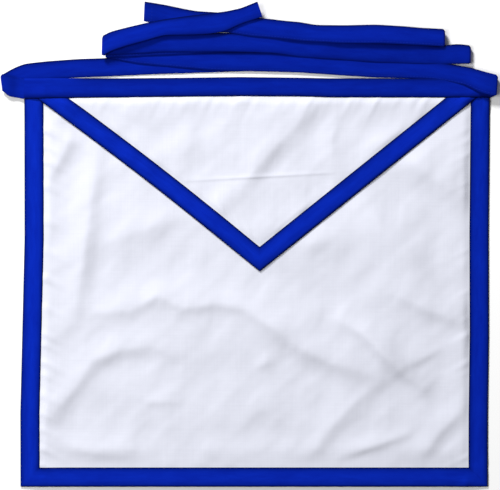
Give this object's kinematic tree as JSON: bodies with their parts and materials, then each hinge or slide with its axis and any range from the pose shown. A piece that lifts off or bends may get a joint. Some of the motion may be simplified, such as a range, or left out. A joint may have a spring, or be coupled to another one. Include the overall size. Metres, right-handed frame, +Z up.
{
  "type": "masonic apron",
  "caption": "White cotton apron with a pointed flap, bound in royal blue tape, laid flat with its waistband's ties folded back and forth above it.",
  "frame": {"origin": "on the table that the apron lies on, under the middle of its overall box", "axes": "+X to the right across the apron, +Y towards the waist, +Z up from the table"},
  "size_m": [0.4342, 0.422, 0.0088],
  "materials": {
    "white_cotton": "plain woven cotton, matt",
    "blue_tape": "plain woven tape, matt"
  },
  "bodies": {
    "root": {"body_panel": "white_cotton", "flap_panel": "white_cotton", "edge_binding": "blue_tape", "flap_binding": "blue_tape", "waistband": "blue_tape", "tie_left": "blue_tape", "tie_right": "blue_tape"}
  },
  "joints": []
}
